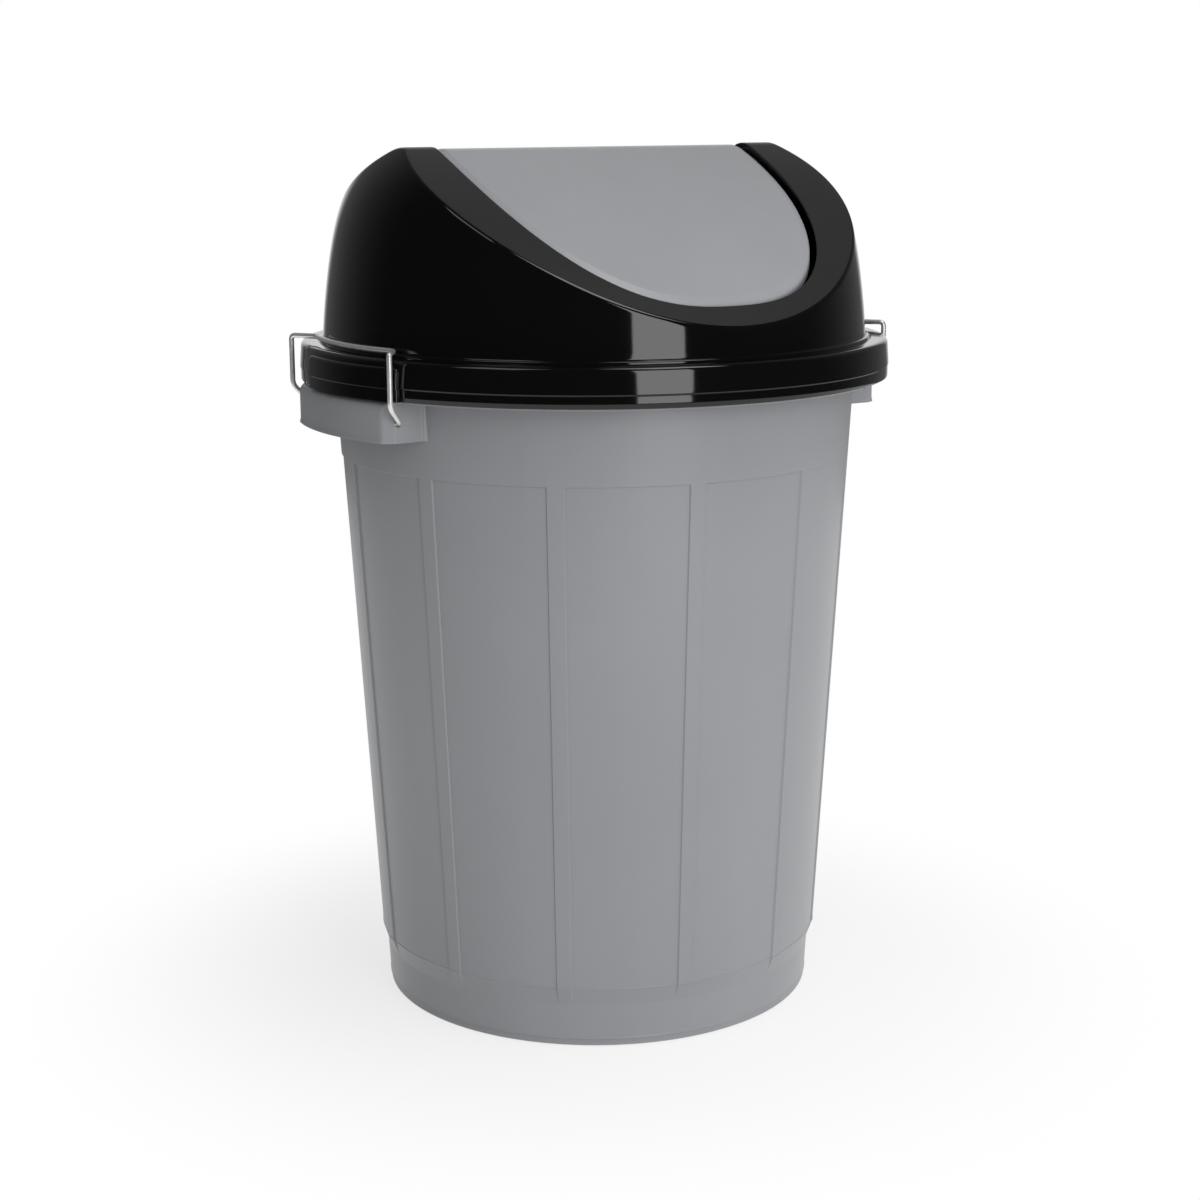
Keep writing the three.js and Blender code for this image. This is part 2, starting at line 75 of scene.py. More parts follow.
# --- Studio -----------------------------------------------------------------------------
# A pale round floor that keeps the bin's soft shadow and runs out to white, a white backdrop
# behind the bin and a dim room in front of it, and three soft boxes: a tall one in front on the
# right, one high on the right, and a weak one high on the left.
FLOOR_RADIUS = 2100 * MM
FLOOR_SIDES = 128
FLOOR_SHADE = 0.85
SHADOW_FULL = 0.2
SHADOW_GONE = 0.48
SHADOW_WHITE = 0.72
BACKDROP_EDGE = (0.9, 0.995)
BACKDROP_TILT = 0.15
ROOM_DEPTH = (0.1, 0.93)
ROOM_GLOW = (0.03, 0.16)
FILL_SPREAD = (-0.5, 1.0)
FILL_LEVEL = (0.30, 1.12)
FILL_TILT = 0.1
AIM_HEIGHT = 0.36


class Signal:
    """A value in a finish. Arithmetic on it adds the Math nodes."""

    def __init__(self, finish, socket):
        self.finish = finish
        self.socket = socket

    def _math(self, operation, first, second):
        return self.finish.node("ShaderNodeMath", {"operation": operation}, {0: first, 1: second})

    def __add__(self, other):
        return self._math("ADD", self, other)

    def __radd__(self, other):
        return self._math("ADD", other, self)

    def __mul__(self, other):
        return self._math("MULTIPLY", self, other)

    def __rmul__(self, other):
        return self._math("MULTIPLY", other, self)

    def most(self, other):
        """The larger of the two."""
        return self._math("MAXIMUM", self, other)


class Finish:
    """The nodes of one material, or of the world, added as its formula is written."""

    def __init__(self, owner):
        self.owner = owner
        owner.use_nodes = True
        self.tree = owner.node_tree

    def node(self, kind, settings=None, inputs=None, out=0):
        """A node with its settings first, then the values or links of its inputs."""
        made = self.tree.nodes.new(kind)
        for name, value in (settings or {}).items():
            if name == "stops":
                while len(made.color_ramp.elements) < len(value):
                    made.color_ramp.elements.new(0.5)
                for element, (at, shade) in zip(made.color_ramp.elements, value):
                    element.position = at
                    element.color = (shade, shade, shade, 1)
            else:
                setattr(made, name, value)
        for name, value in (inputs or {}).items():
            if isinstance(value, Signal):
                self.tree.links.new(value.socket, made.inputs[name])
            else:
                made.inputs[name].default_value = value
        return Signal(self, made.outputs[out]) if made.outputs else None

    def blend(self, share, first, second):
        """A colour between two, by a share from 0 to 1."""
        pick = {"data_type": "RGBA"}
        return self.node("ShaderNodeMix", pick, {0: share, 6: first, 7: second}, out=2)

    def ramp(self, share, *stops):
        """Shades of grey at places from 0 to 1."""
        return self.node("ShaderNodeValToRGB", {"stops": stops}, {0: share})

    def remap(self, value, before, after, ends="SMOOTHSTEP"):
        """A value taken from one range to another, and held at its ends."""
        range_ends = {0: value, 1: before[0], 2: before[1], 3: after[0], 4: after[1]}
        return self.node("ShaderNodeMapRange", {"interpolation_type": ends}, range_ends)

    def noise(self, place, scale, detail=2.0, roughness=0.5):
        sizes = {"Vector": place, "Scale": scale, "Detail": detail, "Roughness": roughness}
        return self.node("ShaderNodeTexNoise", None, sizes)

    def stretched(self, place, scale):
        sizes = {"Vector": place, "Scale": scale}
        return self.node("ShaderNodeMapping", {"vector_type": "POINT"}, sizes)

    def toward(self, direction, way):
        """How far a direction points one way."""
        product = {"operation": "DOT_PRODUCT"}
        return self.node("ShaderNodeVectorMath", product, {0: direction, 1: way}, out=1)

    def ray(self, name):
        node = self.tree.nodes.get("Light Path") or self.tree.nodes.new("ShaderNodeLightPath")
        return Signal(self, node.outputs[name])

    def bump(self, strength, depth, height, under=None):
        """A normal bent by a height, on top of another where one is given."""
        sizes = {"Strength": strength, "Distance": depth, "Height": height}
        if under:
            sizes["Normal"] = under
        return self.node("ShaderNodeBump", None, sizes)

    def feed(self, shader, signals):
        """Links what varies over the surface to the inputs of a shader."""
        for name, signal in signals.items():
            self.tree.links.new(signal.socket, shader.inputs[name])


bpy.ops.mesh.primitive_circle_add(vertices=FLOOR_SIDES, radius=FLOOR_RADIUS, fill_type="NGON")
floor = bpy.context.object
floor.name = "studio_floor"
paper = Finish(bpy.data.materials.new("studio paper"))
paper.tree.nodes.clear()
floor_place = paper.node("ShaderNodeTexCoord", out=3)
from_bin = paper.node("ShaderNodeVectorMath", {"operation": "LENGTH"}, {0: floor_place}, out=1)
run_out = paper.remap(from_bin, (SHADOW_FULL, SHADOW_GONE), (SHADOW_WHITE, 1.0))
seen = paper.ray("Is Camera Ray").most(paper.ray("Is Glossy Ray"))
seen = seen.most(paper.ray("Is Transmission Ray"))
floor_colour = (FLOOR_SHADE, FLOOR_SHADE, FLOOR_SHADE, 1)
matt = paper.node("ShaderNodeBsdfDiffuse", None, {"Color": floor_colour})
white = paper.node("ShaderNodeEmission", None, {"Color": (1, 1, 1, 1), "Strength": 1.0})
sheet = paper.node("ShaderNodeMixShader", None, {0: run_out * seen, 1: matt, 2: white})
paper.node("ShaderNodeOutputMaterial", None, {"Surface": sheet})
floor.data.materials.append(paper.owner)

world = bpy.data.worlds.new("studio")
bpy.context.scene.world = world
room = Finish(world)
room.tree.nodes.clear()
direction = room.node("ShaderNodeTexCoord", out=0)
behind = (math.sin(CAMERA_TURN), math.cos(CAMERA_TURN), BACKDROP_TILT)
facing = room.toward(direction, behind)
backdrop = room.remap(facing, BACKDROP_EDGE, (0.0, 1.0))
glow = room.remap(facing, ROOM_DEPTH, ROOM_GLOW)
right_hand = (math.cos(CAMERA_TURN), -math.sin(CAMERA_TURN), FILL_TILT)
fill = room.remap(room.toward(direction, right_hand), FILL_SPREAD, FILL_LEVEL, "LINEAR")
mirrored = room.ray("Is Glossy Ray").most(room.ray("Is Transmission Ray"))
seen = room.ray("Is Camera Ray").most(mirrored * backdrop)
dim = room.node("ShaderNodeBackground", None, {"Color": (1, 1, 1, 1), "Strength": fill})
dark = room.node("ShaderNodeBackground", None, {"Color": (1, 1, 1, 1), "Strength": glow})
bright = room.node("ShaderNodeBackground", None, {"Color": (1, 1, 1, 1), "Strength": 1.0})
unseen = room.node("ShaderNodeMixShader", None, {0: mirrored, 1: dim, 2: dark})
whole = room.node("ShaderNodeMixShader", None, {0: seen, 1: unseen, 2: bright})
room.node("ShaderNodeOutputWorld", None, {"Surface": whole})


def soft_box(name, bearing, height, distance, wide, tall, power):
    """A rectangular lamp at a bearing to the right of the camera, aimed at the bin's middle.

    The bearing is in degrees, the lengths in metres and the power in watts.
    """
    turn = math.radians(bearing) - CAMERA_TURN
    out = Vector((math.sin(turn), -math.cos(turn), 0))
    lamp = bpy.data.lights.new(name, "AREA")
    lamp.shape = "RECTANGLE"
    lamp.size = wide
    lamp.size_y = tall
    lamp.energy = power
    box = bpy.data.objects.new(name, lamp)
    bpy.context.scene.collection.objects.link(box)
    box.location = out * distance + Vector((0, 0, height))
    aim = Vector((0, 0, AIM_HEIGHT)) - box.location
    box.rotation_euler = aim.to_track_quat("-Z", "Y").to_euler()


soft_box("front_box", 25, 0.85, 2.3, 0.85, 1.7, 18)
soft_box("high_box", 48, 2.3, 0.85, 0.9, 0.9, 10)
soft_box("left_box", -48, 2.0, 1.15, 0.75, 0.75, 3)


# --- Bucket -----------------------------------------------------------------------------
# One moulding of mid-grey polypropylene: a tapered wall, a foot band and a sloped step below
# shallow panels, a plain band above them, and a rim shelf turned down into a lip. Its fine
# texture is the mould's, and it shows faint upright flow marks.
BUCKET_FOOT = 164.4
BUCKET_MOUTH = 196.6
BUCKET_HEIGHT = 500.0
BUCKET_WALL = 2.5
STEP_LOW = 33.0
STEP_HIGH = 46.4
STEP_OUT = 3.9
RIB_COUNT = 12
RIB_TURN = 20.8
RIB_HALF = 1.74
PANEL_DEPTH = 1.1
RIM_OUT = 216.5
RIM_LIP = 473.2
RING_OUT = 0.5
RING_SIZE = 0.2
OPEN_SPIN = math.radians(90)
SEAM_GAP = 1e-6
AXIS_GAP = 2e-6


def deselected():
    """Object mode, with nothing selected."""
    if bpy.context.object and bpy.context.object.mode != "OBJECT":
        bpy.ops.object.mode_set(mode="OBJECT")
    bpy.ops.object.select_all(action="DESELECT")


def picked(made):
    """Object mode, with this one selected and active."""
    deselected()
    made.select_set(True)
    bpy.context.view_layer.objects.active = made


def wall_radius(z):
    """Outer radius of the tapered wall, wider above the step."""
    share = min(1.0, max(0.0, (z - STEP_LOW) / (STEP_HIGH - STEP_LOW)))
    slope = (BUCKET_MOUTH - STEP_OUT - BUCKET_FOOT) / BUCKET_HEIGHT
    return BUCKET_FOOT + slope * z + STEP_OUT * share


def spun(name, rows, bearings, place, full=True, ends_on_axis=False, second=None):
    """A section of so many rows is spun about Z, then each copy of each row is put in its place.

    The section is an upright ring beside the axis while it is spun, whatever its shape is later.
    place(row, bearing) gives a point in millimetres, the bearing in degrees from +X. A section
    that isn't spun full round is spun over a right angle, and both its ends are closed. Faces
    between the two rows of second get the second material.
    """
    deselected()
    bpy.ops.mesh.primitive_circle_add(vertices=rows, radius=RING_SIZE)
    made = bpy.context.object
    made.name = name
    mesh = made.data
    row_mark = mesh.attributes.new("row", "INT", "POINT")
    for vertex in mesh.vertices:
        turn = 2 * math.pi * vertex.index / rows
        vertex.co = (RING_OUT + RING_SIZE * math.cos(turn), 0, RING_SIZE * math.sin(turn))
        row_mark.data[vertex.index].value = vertex.index
    copies = len(bearings)
    step = 2 * math.pi / copies if full else OPEN_SPIN / (copies - 1)
    bpy.ops.object.mode_set(mode="EDIT")
    bpy.ops.mesh.select_mode(type="VERT")
    bpy.ops.mesh.select_all(action="SELECT")
    bpy.ops.mesh.spin(
        steps=copies if full else copies - 1,
        angle=step * (copies if full else copies - 1),
        center=(0, 0, 0),
        axis=(0, 0, 1),
    )
    bpy.ops.mesh.select_all(action="SELECT")
    bpy.ops.mesh.remove_doubles(threshold=SEAM_GAP)
    bpy.ops.object.mode_set(mode="OBJECT")
    row_of = [item.value for item in mesh.attributes["row"].data]
    for vertex in mesh.vertices:
        copy = round(math.atan2(vertex.co.y, vertex.co.x) / step) % copies
        vertex.co = Vector(place(row_of[vertex.index], bearings[copy])) * MM
    if second:
        for face in mesh.polygons:
            face_rows = [row_of[index] for index in face.vertices]
            if min(face_rows) >= second[0] and max(face_rows) <= second[1]:
                face.material_index = 1
    mesh.attributes.remove(mesh.attributes["row"])
    bpy.ops.object.mode_set(mode="EDIT")
    bpy.ops.mesh.select_all(action="SELECT")
    if ends_on_axis:
        bpy.ops.mesh.remove_doubles(threshold=AXIS_GAP)
        bpy.ops.mesh.delete_loose(use_verts=True, use_edges=True)
        bpy.ops.mesh.select_all(action="SELECT")
    if not full:
        bpy.ops.mesh.select_all(action="DESELECT")
        bpy.ops.mesh.select_non_manifold(extend=False)
        bpy.ops.mesh.edge_face_add()
        bpy.ops.mesh.select_all(action="SELECT")
    bpy.ops.mesh.normals_make_consistent(inside=False)
    bpy.ops.object.mode_set(mode="OBJECT")
    return made


def smooth(made, degrees):
    """Smooth shading, with an edge kept wherever the surface turns by more."""
    picked(made)
    bpy.ops.object.shade_smooth_by_angle(angle=math.radians(degrees))


def joined(*parts):
    """The first part, with the others joined to it."""
    deselected()
    for part in parts:
        part.select_set(True)
    bpy.context.view_layer.objects.active = parts[0]
    bpy.ops.object.join()
    return parts[0]


def coated(made, *materials):
    """The piece's materials, in place of any it had."""
    made.data.materials.clear()
    for material in materials:
        made.data.materials.append(material)


# Rows of the section: (radius, height, share of the panel's depth), from the middle of the
# underside, over the foot, up the outside, round the rim, and down the inside. The wall's own
# rows are (height, set in from the wall, share): a groove and a bead at the foot, the step
# from 33 to 46.4 with a fine bead on it, the panels, and their top edge at 418.
foot_rows = [
    (0, 3, 0), (50, 3, 0), (100, 3, 0), (149, 3, 0), (151, 2.9, 0), (152, 2.3, 0),
    (152.4, 1.2, 0), (152.8, 0.3, 0), (153.6, 0, 0), (161.2, 0, 0), (162.6, 0.15, 0),
    (163.6, 0.6, 0), (164.2, 1.3, 0),
]
wall_rows = [
    (wall_radius(z) - groove, z, share)
    for z, groove, share in [
        (2.4, 0.5, 0), (5.0, 0.5, 0), (5.3, 0.46, 0), (5.8, -0.28, 0), (6.1, -0.34, 0),
        (6.6, -0.2, 0), (7.0, 0, 0), (7.6, 0, 0), (12, 0, 0), (20, 0, 0), (29, 0, 0),
        (32.6, 0, 0), (33, 0, 0), (33.4, 0, 0.03), (38, 0, 0.38), (42, 0, 0.68),
        (45.6, 0, 0.95), (45.9, -0.04, 0.97), (46.2, -0.3, 1), (46.5, -0.32, 1),
        (47.0, 0, 1), (47.4, 0, 1), (60, 0, 1), (100, 0, 1), (160, 0, 1), (220, 0, 1),
        (280, 0, 1), (340, 0, 1), (390, 0, 1), (412, 0, 1), (416.6, 0, 1), (417.3, 0, 1),
        (417.4, 0, 0.94), (417.9, 0, 0.06), (418.0, 0, 0), (418.7, 0, 0), (424, 0, 0),
        (440, 0, 0), (456, 0, 0), (472, 0, 0), (488, 0, 0), (494.5, 0, 0),
    ]
]
rim_rows = [
    (197.0, 496.6, 0), (198.4, 497.5, 0), (206, 497.5, 0), (212.6, 497.5, 0), (213.7, 497.1, 0),
    (214.0, 496, 0), (214.0, 485, 0), (214.0, 474.2, 0), (214.3, 473.5, 0), (215, RIM_LIP, 0),
    (215.8, RIM_LIP, 0), (216.3, 473.5, 0), (RIM_OUT, 474.1, 0), (RIM_OUT, 486, 0),
    (RIM_OUT, 498.2, 0), (216.2, 499.2, 0), (215.4, 499.9, 0), (214.6, BUCKET_HEIGHT, 0),
    (205, BUCKET_HEIGHT, 0), (195.8, BUCKET_HEIGHT, 0), (194.7, 499.6, 0),
]
inside_rows = [
    (wall_radius(z) - BUCKET_WALL, z, 0)
    for z in (498.6, 490, 470, 430, 360, 280, 200, 120, 60, 46.4, 33, 20, 9.5)
]
floor_rows = [(161.2, 7.2, 0), (159.4, 6.3, 0), (157, 6, 0), (110, 6, 0), (50, 6, 0), (0, 6, 0)]
bucket_rows = foot_rows + wall_rows + rim_rows + inside_rows + floor_rows

# Copies of the section stand close together at the edges of the ribs, and wider between:
# (degrees from the rib's middle, share of the panel's depth).
half_pitch = 180 / RIB_COUNT
near_rib = [
    (0, 0), (0.9, 0), (1.5, 0), (RIB_HALF - 0.03, 0), (RIB_HALF, 0.06), (RIB_HALF + 0.16, 0.94),
    (RIB_HALF + 0.19, 1), (RIB_HALF + 0.4, 1), (2.8, 1), (4.5, 1), (7, 1), (9.7, 1), (12.4, 1),
]
bucket_bearings = []
panel_share = {}
for rib in range(RIB_COUNT):
    middle = RIB_TURN - 90 + rib * 2 * half_pitch
    before_rib = [(-offset, share) for offset, share in near_rib[:0:-1]]
    for offset, share in before_rib + near_rib + [(half_pitch, 1)]:
        bearing = round((middle + offset) % 360, 4)
        bucket_bearings.append(bearing)
        panel_share[bearing] = share
bucket_bearings.sort()


def bucket_place(row, bearing):
    radius, z, share = bucket_rows[row]
    radius -= PANEL_DEPTH * share * panel_share[bearing]
    turn = math.radians(bearing)
    return radius * math.cos(turn), radius * math.sin(turn), z


bucket_shell = spun(
    "bucket_shell", len(bucket_rows), bucket_bearings, bucket_place, ends_on_axis=True
)


def grey_plastic(name, shade, gloss):
    """Satin grey polypropylene: faint clouds and upright flow marks, and a very fine grain."""
    finish = Finish(bpy.data.materials.new(name))
    shader = finish.tree.nodes["Principled BSDF"]
    place = finish.node("ShaderNodeTexCoord", out=3)
    cloud = finish.noise(place, 6.0, 3.0)
    flow = finish.noise(finish.stretched(place, (22, 22, 1.6)), 1.0, 3.0, 0.6)
    grain = finish.noise(place, 1500.0, 2.0, 0.6)
    tint = finish.ramp(cloud * 0.55 + flow * 0.35 + grain * 0.1, (0.3, 0.0), (0.7, 1.0))
    low = tuple(c * 0.955 for c in shade) + (1,)
    high = tuple(c * 1.045 for c in shade) + (1,)
    colour = finish.blend(tint, low, high)
    rough = gloss + flow * 0.05 + grain * 0.05
    texture = finish.bump(0.16, 0.00012, grain)
    swell = finish.bump(0.12, 0.0012, cloud, texture)
    finish.feed(shader, {"Base Color": colour, "Roughness": rough, "Normal": swell})
    shader.inputs["Specular IOR Level"].default_value = 0.45
    return finish.owner


bucket_grey = grey_plastic("bucket grey", (0.258, 0.263, 0.277), 0.3)


# --- Handles ----------------------------------------------------------------------------
# Moulded with the bucket, under its rim at +X and -X: an outer wall that follows the rim, cut
# corners, and two side walls with a hole each for the clamp's ends. Open below for the fingers.
# Its lower edge has a small bead, and its top turns in below the rim on a round.
HANDLE_OUT = 222.7
HANDLE_HALF = 72.6
HANDLE_LOW = 445.0
HANDLE_TOP = 474.1
HANDLE_WALL = 2.5
HANDLE_ROUND = 7.0
ROUND_STEPS = 7
TOP_TUCK = 1.8
BEAD_FROM = 206
BEAD_MOST = 0.6
PIN_HOLE = 2.9
PIN_DRILL = 180
DRILL_SIDES = 40
PIN_RADIUS = 201.0
PIN_HEIGHT = 459.0


def handle_outline():
    """Half of the plan, from the bucket's wall to the middle of the outer wall."""
    points = [(178.8, 73.6), (181.2, 73.5), (181.8, 73.3), (182.3, 72.75), (182.8, HANDLE_HALF)]
    points += [(184.5, HANDLE_HALF), (194, HANDLE_HALF), (203.0, HANDLE_HALF), (204.0, HANDLE_HALF)]
    points += [(204.25, 72.52), (204.45, 72.35), (204.9, 72.1), (207.5, 70.75), (210.4, 69.2)]
    points += [(210.8, 68.98), (211.2, 68.7), (211.5, 68.4), (211.75, 68.0)]
    for degrees in (17.5, 17.0, 16.4, 15.5, 14, 12, 10, 8, 6, 4, 2, 0):
        turn = math.radians(degrees)
        points.append((HANDLE_OUT * math.cos(turn), HANDLE_OUT * math.sin(turn)))
    return points


half_plan = handle_outline()
handle_plan = half_plan + [(x, -y) for x, y in reversed(half_plan[:-1])]

# Levels of the walls: (height, how far out of the plan).
handle_levels = [
    (HANDLE_LOW, 1.0), (445.8, 1.0), (446.1, 0.85), (446.8, 0.4), (447.8, 0.1), (448.8, 0),
    (452, 0), (456, 0), (460, 0), (464, 0), (HANDLE_TOP - HANDLE_ROUND, 0),
]
for step in range(1, ROUND_STEPS + 1):
    turn = math.radians(step * 90 / ROUND_STEPS)
    rise = HANDLE_ROUND * (math.sin(turn) - 1)
    handle_levels.append((HANDLE_TOP + rise, -HANDLE_ROUND * (1 - math.cos(turn))))
handle_levels.append((HANDLE_TOP, -HANDLE_ROUND - TOP_TUCK))


def drilled(made, radius, length, place, turn, folded=False):
    """A round hole cut through, all in millimetres. A folded wall may cross itself."""
    bpy.ops.mesh.primitive_cylinder_add(
        vertices=DRILL_SIDES, radius=radius * MM, depth=length * MM,
        location=[at * MM for at in place], rotation=turn,
    )
    drill = bpy.context.object
    picked(made)
    hole = made.modifiers.new("hole", "BOOLEAN")
    hole.operation = "DIFFERENCE"
    hole.solver = "EXACT"
    hole.use_self = folded
    hole.object = drill
    bpy.ops.object.modifier_apply(modifier="hole")
    bpy.data.objects.remove(drill)


def handle(name, side):
    """A sheet of the plan by the levels, given its wall and drilled for the clamp's ends."""
    deselected()
    wide = len(handle_plan)
    tall = len(handle_levels)
    bpy.ops.mesh.primitive_grid_add(x_subdivisions=wide - 1, y_subdivisions=tall - 1, size=1)
    made = bpy.context.object
    made.name = name
    for vertex in made.data.vertices:
        x, y = handle_plan[vertex.index % wide]
        z, out = handle_levels[vertex.index // wide]
        radius = math.hypot(x, y)
        bead = min(max(out, 0), BEAD_MOST) if radius > BEAD_FROM else 0
        reach = min(radius + bead, HANDLE_OUT + out)
        vertex.co = Vector((side * x * reach / radius, side * y * reach / radius, z)) * MM
    bpy.ops.object.mode_set(mode="EDIT")
    bpy.ops.mesh.select_all(action="SELECT")
    bpy.ops.mesh.normals_make_consistent(inside=False)
    bpy.ops.object.mode_set(mode="OBJECT")
    outward = made.data.polygons[wide // 2].normal.x * side
    if outward < 0:
        made.data.flip_normals()
    wall = made.modifiers.new("wall", "SOLIDIFY")
    wall.thickness = HANDLE_WALL * MM
    wall.offset = -1
    wall.use_even_offset = False
    bpy.ops.object.modifier_apply(modifier="wall")
    pins = (side * PIN_RADIUS, 0, PIN_HEIGHT)
    drilled(made, PIN_HOLE, PIN_DRILL, pins, (math.radians(90), 0, 0), folded=True)
    return made


bucket = joined(bucket_shell, handle("handle_right_walls", 1), handle("handle_left_walls", -1))
bucket.name = "bucket_moulding"
smooth(bucket, degrees=32)
coated(bucket, bucket_grey)
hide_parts("bucket")
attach(bucket, "bin")


# --- Hood -------------------------------------------------------------------------------
# One moulding of black plastic over the bucket's rim: a skirt with a set-in lip, a rounded
# flange, a bead, and a dome cut by an arched roof with the mouth in it. Dome, flange and skirt
# are polished to a high gloss, the collar round the mouth is satin.
FLANGE_TOP = 502.8
FLANGE_UNDER = 500.3
SKIRT_LOW = 474.6
DOME_RADIUS = 203.2
DOME_HEIGHT = 140.6
DOME_TAPER = 20.3
TAPER_POWER = 1.4
DOME_SHOULDER = 23.5
SHOULDER_POWER = 5.4
DOME_START = 508.8
HOOD_WALL = 2.5
ROOF_EXTRA = 0.2
RIDGE_TOP = FLANGE_TOP + DOME_HEIGHT
RIDGE_ROUND = 25.0
ROOF_RADIUS = 759.0
ROOF_SETBACK = 286.0
MOUTH_WIDE = 133.0
MOUTH_LONG = 184.5
MOUTH_POWER = 2.6
CREASE_ROUND = 2.2
COLLAR_END = 2.2
LIP_END = 4.2
INSIDE_LOW = 503.5

arc_rise = math.sqrt((ROOF_RADIUS - RIDGE_ROUND) ** 2 - ROOF_SETBACK ** 2)
roof_middle = RIDGE_TOP - RIDGE_ROUND - arc_rise
ridge_edge = RIDGE_ROUND * ROOF_SETBACK / (ROOF_RADIUS - RIDGE_ROUND)


def roof(y):
    """Height of the arched roof: two large arcs that meet in a rounded ridge."""
    y = abs(y)
    if y < ridge_edge:
        return RIDGE_TOP - RIDGE_ROUND + math.sqrt(RIDGE_ROUND ** 2 - y ** 2)
    return roof_middle + math.sqrt(ROOF_RADIUS ** 2 - (y + ROOF_SETBACK) ** 2)


def dome(z):
    """Radius of the dome at a height: a slow taper, then a quick shoulder."""
    share = max(0.0, (z - FLANGE_TOP) / DOME_HEIGHT)
    return DOME_RADIUS - DOME_TAPER * share ** TAPER_POWER - DOME_SHOULDER * share ** SHOULDER_POWER


def outline(bearing, wide, long):
    """Radius of the mouth's rounded outline at a bearing."""
    turn = math.radians(bearing)
    across = abs(math.cos(turn) / wide) ** MOUTH_POWER
    along = abs(math.sin(turn) / long) ** MOUTH_POWER
    return (across + along) ** (-1 / MOUTH_POWER)


HALVINGS = 40


def crease(bearing, inset, drop):
    """Where the dome's wall, set in by an amount, meets the roof, lowered by an amount."""
    low, high = SKIRT_LOW, RIDGE_TOP + 5
    rise = abs(math.sin(math.radians(bearing)))
    for _ in range(HALVINGS):
        middle = (low + high) / 2
        if roof((dome(middle) - inset) * rise) - drop > middle:
            low = middle
        else:
            high = middle
    return dome(low) - inset, low


# Fixed rows of the section, (radius, height): the skirt's inside and bottom, its outside with
# the set-in lip, the rounded flange, the groove and the bead.
skirt_rows = [
    (217.2, 498.9), (217.2, 487), (217.2, 475.4), (217.5, 474.8), (218.1, SKIRT_LOW),
    (219.3, SKIRT_LOW), (219.9, 474.8), (220.2, 475.4), (220.2, 479), (220.2, 482.8),
    (220.22, 483.2), (220.6, 483.5), (220.72, 483.9), (220.68, 485), (220.45, 489),
    (220.1, 494), (219.8, 498.2),
]
FLANGE_MIDDLE = (215.75, 498.8)
FLANGE_ROUND = 4
FLANGE_STEPS = 8
flange_rows = []
for step in range(1, FLANGE_STEPS + 1):
    turn = math.radians(step * 90 / FLANGE_STEPS)
    out, up = FLANGE_ROUND * math.cos(turn), FLANGE_ROUND * math.sin(turn)
    flange_rows.append((FLANGE_MIDDLE[0] + out, FLANGE_MIDDLE[1] + up))
bead_rows = [
    (212.5, FLANGE_TOP), (208.6, FLANGE_TOP), (207.5, 502.75), (207.0, 502.3), (206.6, 502.2),
    (206.3, 502.5), (206.1, 503.2), (205.95, 504.0), (205.6, 504.55), (205.0, 504.8),
    (204.4, 504.75), (203.9, 504.9), (203.55, 505.4), (203.35, 506.2), (203.2, 507.4),
]
fixed_rows = skirt_rows + flange_rows + bead_rows
DOME_ROWS = 26
DOME_CROWDING = 1.25
CREASE_ROWS = 8
COLLAR_ROWS = 9
UNDER_ROWS = 6
INNER_ROWS = 12

# Rows of the mouth's lip, (out from the mouth's edge, below the roof), then the last rows of
# the section, (radius, height), where the inside comes down to the flange's underside.
lip_rows = [
    (1.3, 0.0), (0.75, 0.08), (0.3, 0.35), (0.05, 0.8), (0.0, 1.4), (0.0, 4), (0.0, 6.4),
    (0.3, 6.9), (0.9, 7.0), (1.7, 7.0), (2.3, 6.8), (2.5, 6.3), (2.5, 4.2), (2.7, 3.3), (3.3, 2.7),
]
tail_rows = [
    (200.7, 501.2), (201.2, 500.5), (202.2, FLANGE_UNDER), (210, FLANGE_UNDER),
    (216.2, FLANGE_UNDER), (216.9, 500),
]


def hood_section(bearing):
    """All the points of the section at a bearing, as (radius, height)."""
    along = math.sin(math.radians(bearing))
    points = list(fixed_rows)
    corner_r, corner_z = crease(bearing, 0, 0)
    low_z = corner_z - CREASE_ROUND
    for step in range(DOME_ROWS):
        share = step / (DOME_ROWS - 1)
        z = DOME_START + (low_z - DOME_START) * (1 - (1 - share) ** DOME_CROWDING)
        points.append((dome(z), z))
    start = Vector((dome(low_z), low_z))
    corner = Vector((corner_r, corner_z))
    end_r = corner_r - CREASE_ROUND
    end = Vector((end_r, roof(end_r * along)))
    for step in range(1, CREASE_ROWS + 1):
        share = step / CREASE_ROWS
        bend = start * (1 - share) ** 2 + corner * 2 * share * (1 - share) + end * share ** 2
        points.append((bend.x, bend.y))
    edge = outline(bearing, MOUTH_WIDE, MOUTH_LONG)
    for step in range(1, COLLAR_ROWS + 1):
        radius = end_r + (edge + COLLAR_END - end_r) * step / COLLAR_ROWS
        points.append((radius, roof(radius * along)))
    for out, drop in lip_rows:
        points.append((edge + out, roof((edge + out) * along) - drop))
    inner_r, inner_z = crease(bearing, HOOD_WALL, HOOD_WALL + ROOF_EXTRA)
    for step in range(1, UNDER_ROWS + 1):
        radius = edge + LIP_END + (inner_r - edge - LIP_END) * step / UNDER_ROWS
        points.append((radius, roof(radius * along) - HOOD_WALL - ROOF_EXTRA))
    for step in range(1, INNER_ROWS + 1):
        z = inner_z + (INSIDE_LOW - inner_z) * step / INNER_ROWS
        points.append((dome(z) - HOOD_WALL, z))
    return points + tail_rows


# Copies of the section stand 1.5 degrees apart, and 0.5 degrees apart by the ridge's two ends,
# where the crease turns quickly.
hood_bearings = [step * 1.5 for step in range(240)]
for end in (0, 180):
    hood_bearings += [(end + step * 0.5) % 360 for step in range(-26, 27) if step % 3]
hood_bearings = sorted(hood_bearings)
hood_sections = {bearing: hood_section(bearing) for bearing in hood_bearings}
hood_row_count = len(hood_sections[hood_bearings[0]])


